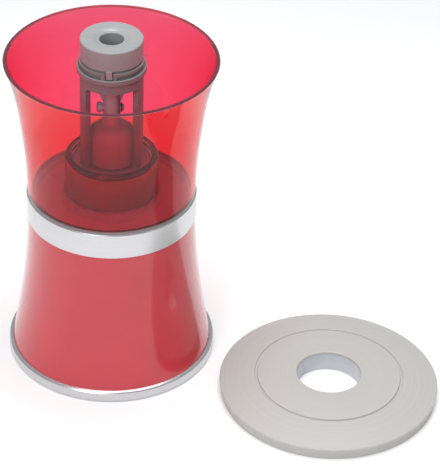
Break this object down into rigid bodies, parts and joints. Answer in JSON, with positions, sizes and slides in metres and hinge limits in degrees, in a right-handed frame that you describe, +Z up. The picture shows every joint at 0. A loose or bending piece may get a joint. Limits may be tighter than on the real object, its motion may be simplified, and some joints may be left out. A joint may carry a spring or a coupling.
{
  "type": "countertop rotary rock tumbler",
  "caption": "Upright countertop tumbler: motor base, ring-shaped clear bowl, caged drive column with a turning hub, lift-off head and a domed lid lying beside it",
  "frame": {"origin": "on the machine's upright axis, on the surface that it stands on", "axes": "+Z up along the drive axis and out of the head's hole, -Y to the front (the side with the rail's gap), +Y to the rear panel, +X to the right as seen from the front"},
  "size_m": [0.3336, 0.2311, 0.2769],
  "materials": {
    "red_gloss": "gloss",
    "red_clear": "clear gloss",
    "silver_trim": "satin silver",
    "lid_silver": "satin silver",
    "lid_inner": "satin",
    "column_grey": "satin",
    "head_grey": "satin",
    "hub_grey": "satin",
    "dark_grey": "satin",
    "black_plastic": "fine texture",
    "rubber": "matt",
    "seal_rubber": "matt",
    "screw_steel": "zinc plated",
    "shaft_steel": "ground",
    "plate_steel": "zinc plated",
    "bearing_bronze": "sintered",
    "pinion_brass": "cut",
    "gear_plastic": "moulded",
    "board_green": "gloss",
    "deck_grey": "satin",
    "tower_grey": "satin"
  },
  "bodies": {
    "base": {"base_shell": "red_gloss", "base_ring": "silver_trim", "bottom_cover": "black_plastic", "rubber_feet": "rubber", "cover_screws": "screw_steel", "waist_band": "silver_trim", "deck_plate": "deck_grey", "drive_tower": "tower_grey", "tower_screws": "screw_steel", "column_cage": "column_grey", "latch_rail": "column_grey", "cage_screws": "screw_steel", "top_bush": "bearing_bronze", "idler_axle": "shaft_steel", "idler_clip": "shaft_steel", "lower_plate": "plate_steel", "upper_plate": "plate_steel", "plate_spacers": "plate_steel", "support_posts": "black_plastic", "plate_screws": "screw_steel", "post_screws": "screw_steel", "lower_bush": "bearing_bronze", "upper_bush": "bearing_bronze", "shaft_seal": "seal_rubber", "motor_can": "plate_steel", "motor_magnets": "dark_grey", "motor_end_cap": "black_plastic", "motor_screws": "screw_steel", "driver_board": "board_green", "board_screws": "screw_steel", "board_capacitor": "black_plastic", "board_terminal": "board_green", "board_heatsink": "head_grey", "rear_panel": "black_plastic", "switch_housing": "black_plastic", "power_inlet": "black_plastic", "inlet_pin": "shaft_steel"},
    "rotor": {"hub_dome": "hub_grey", "rotor_stem": "hub_grey", "drive_shaft": "shaft_steel", "shaft_clip": "shaft_steel", "cross_pin": "hub_grey", "pin_clip": "dark_grey", "output_gear": "gear_plastic"},
    "idler": {"idler_gear": "gear_plastic"},
    "armature": {"motor_shaft": "shaft_steel", "motor_pinion": "pinion_brass", "armature_core": "plate_steel"},
    "bowl": {"bowl": "red_clear", "bowl_gasket": "seal_rubber"},
    "head": {"head_cap": "head_grey", "head_seal": "seal_rubber"},
    "lid": {"lid_plate": "lid_silver", "lid_tube": "lid_inner", "lid_gasket": "seal_rubber"},
    "rocker": {"switch_rocker": "black_plastic"}
  },
  "joints": [
    {"name": "rotor_spin", "type": "hinge", "parent": "base", "child": "rotor", "pos_m": [0, 0, 0.1], "axis": [0, 0, 1], "continuous": true},
    {"name": "idler_spin", "type": "hinge", "parent": "base", "child": "idler", "pos_m": [0, 0.032, 0.07], "axis": [0, 0, 1], "continuous": true},
    {"name": "armature_spin", "type": "hinge", "parent": "base", "child": "armature", "pos_m": [-0.024, 0.022, 0.06], "axis": [0, 0, 1], "continuous": true},
    {"name": "bowl_lift", "type": "slide", "parent": "base", "child": "bowl", "axis": [0, 0, 1], "range_m": [0, 0.14]},
    {"name": "head_lift", "type": "slide", "parent": "base", "child": "head", "axis": [0, 0, 1], "range_m": [0, 0.04]},
    {"name": "lid_lift", "type": "slide", "parent": "base", "child": "lid", "axis": [0, 0, 1], "range_m": [0, 0.3]},
    {"name": "switch_rock", "type": "hinge", "parent": "base", "child": "rocker", "pos_m": [0.014, 0.062, 0.03], "axis": [0, 0, 1], "range_deg": [0, 16]}
  ],
  "couplings": [
    {"joint": "idler_spin", "follows": "rotor_spin", "ratio": -3},
    {"joint": "armature_spin", "follows": "rotor_spin", "ratio": 8.1429}
  ]
}
